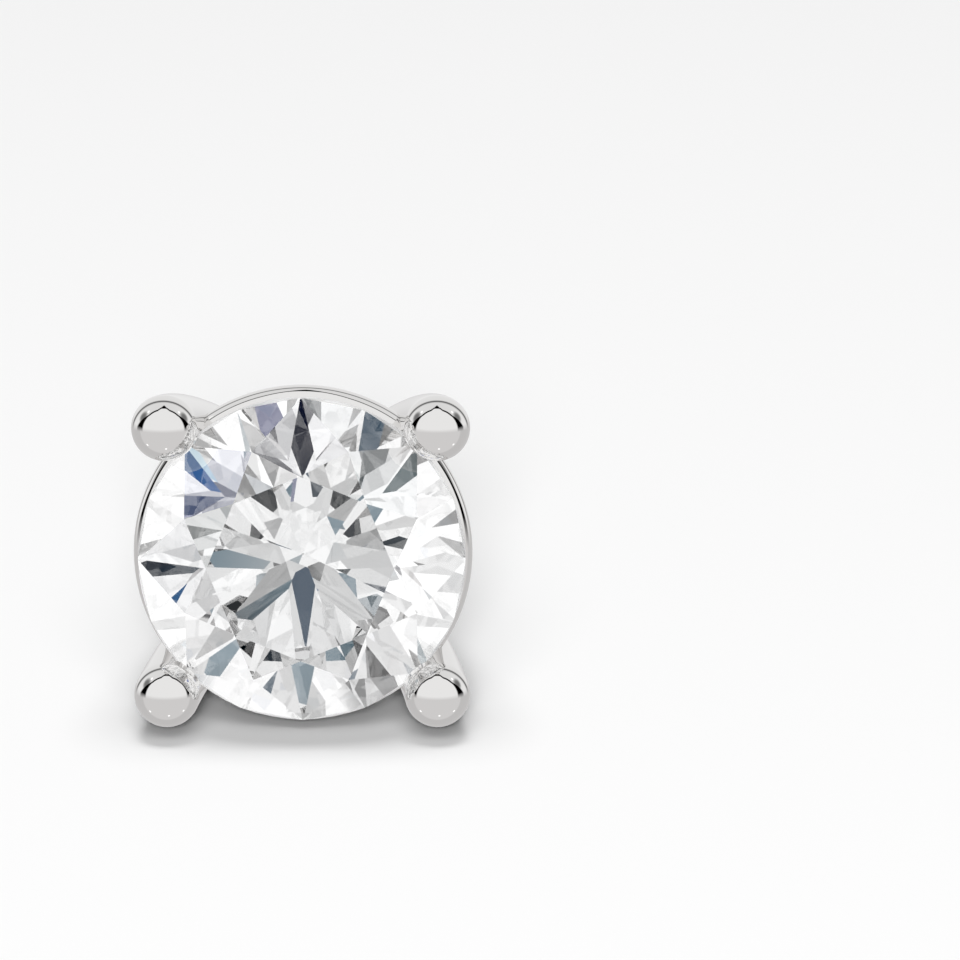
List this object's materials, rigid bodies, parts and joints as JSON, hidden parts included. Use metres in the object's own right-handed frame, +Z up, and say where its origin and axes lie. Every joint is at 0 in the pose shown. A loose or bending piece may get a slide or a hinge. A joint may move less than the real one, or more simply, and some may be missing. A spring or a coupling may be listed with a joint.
{
  "type": "stud earring",
  "caption": "Stud earring with a round brilliant-cut clear stone held by four domed prongs in a crossed-wire basket with a gallery rail and a plain straight post.",
  "frame": {"origin": "on the surface that the stud lies on, under the middle of its bounding box", "axes": "+Z up, -Y the way the stone's face looks (tipped up by the rest angle), +Y towards the free end of the post, +X to the right when facing the stone"},
  "size_m": [0.0054, 0.0148, 0.0054],
  "materials": {
    "setting_metal": "polished, rhodium-plated white gold",
    "stone": "polished clear facets"
  },
  "bodies": {
    "root": {"setting": "setting_metal", "stone": "stone"}
  },
  "joints": []
}
